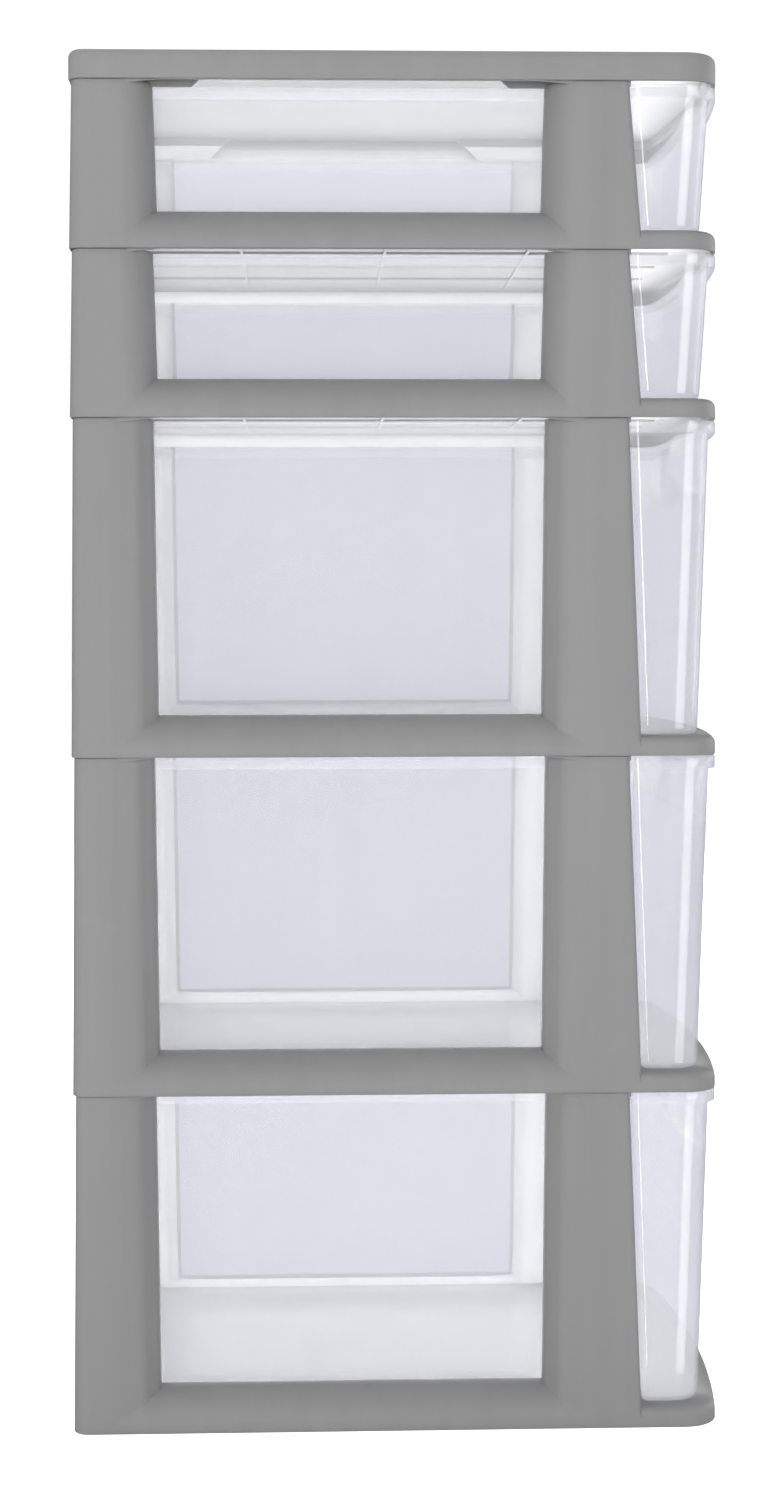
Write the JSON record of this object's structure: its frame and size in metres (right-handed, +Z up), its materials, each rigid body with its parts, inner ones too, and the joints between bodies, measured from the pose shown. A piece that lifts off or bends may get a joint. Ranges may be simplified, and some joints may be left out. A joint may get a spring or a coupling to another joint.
{
  "type": "plastic drawer tower",
  "caption": "Free-standing tower of stacked moulded tier frames with side windows, a lid and clear pull-out drawers with a rim pull.",
  "frame": {"origin": "centre of the footprint's bounding box, on the surface the tower stands on", "axes": "+Z up, -Y to the front where the drawers come out, +X to the right as seen from the front, across the width"},
  "size_m": [0.29, 0.403, 0.84],
  "materials": {
    "frame_grey": "fine satin texture of moulded polypropylene",
    "drawer_clear": "smooth translucent natural polypropylene"
  },
  "bodies": {
    "tower": {"top_lid": "frame_grey", "tier_1_frame": "frame_grey", "tier_2_frame": "frame_grey", "tier_3_frame": "frame_grey", "tier_4_frame": "frame_grey", "tier_5_frame": "frame_grey"},
    "drawer_1": {"drawer_1": "drawer_clear"},
    "drawer_2": {"drawer_2": "drawer_clear"},
    "drawer_3": {"drawer_3": "drawer_clear"},
    "drawer_4": {"drawer_4": "drawer_clear"},
    "drawer_5": {"drawer_5": "drawer_clear"}
  },
  "joints": [
    {"name": "drawer_1_slide", "type": "slide", "parent": "tower", "child": "drawer_1", "axis": [0, -1, 0], "range_m": [0, 0.3]},
    {"name": "drawer_2_slide", "type": "slide", "parent": "tower", "child": "drawer_2", "axis": [0, -1, 0], "range_m": [0, 0.3]},
    {"name": "drawer_3_slide", "type": "slide", "parent": "tower", "child": "drawer_3", "axis": [0, -1, 0], "range_m": [0, 0.3]},
    {"name": "drawer_4_slide", "type": "slide", "parent": "tower", "child": "drawer_4", "axis": [0, -1, 0], "range_m": [0, 0.3]},
    {"name": "drawer_5_slide", "type": "slide", "parent": "tower", "child": "drawer_5", "axis": [0, -1, 0], "range_m": [0, 0.3]}
  ]
}
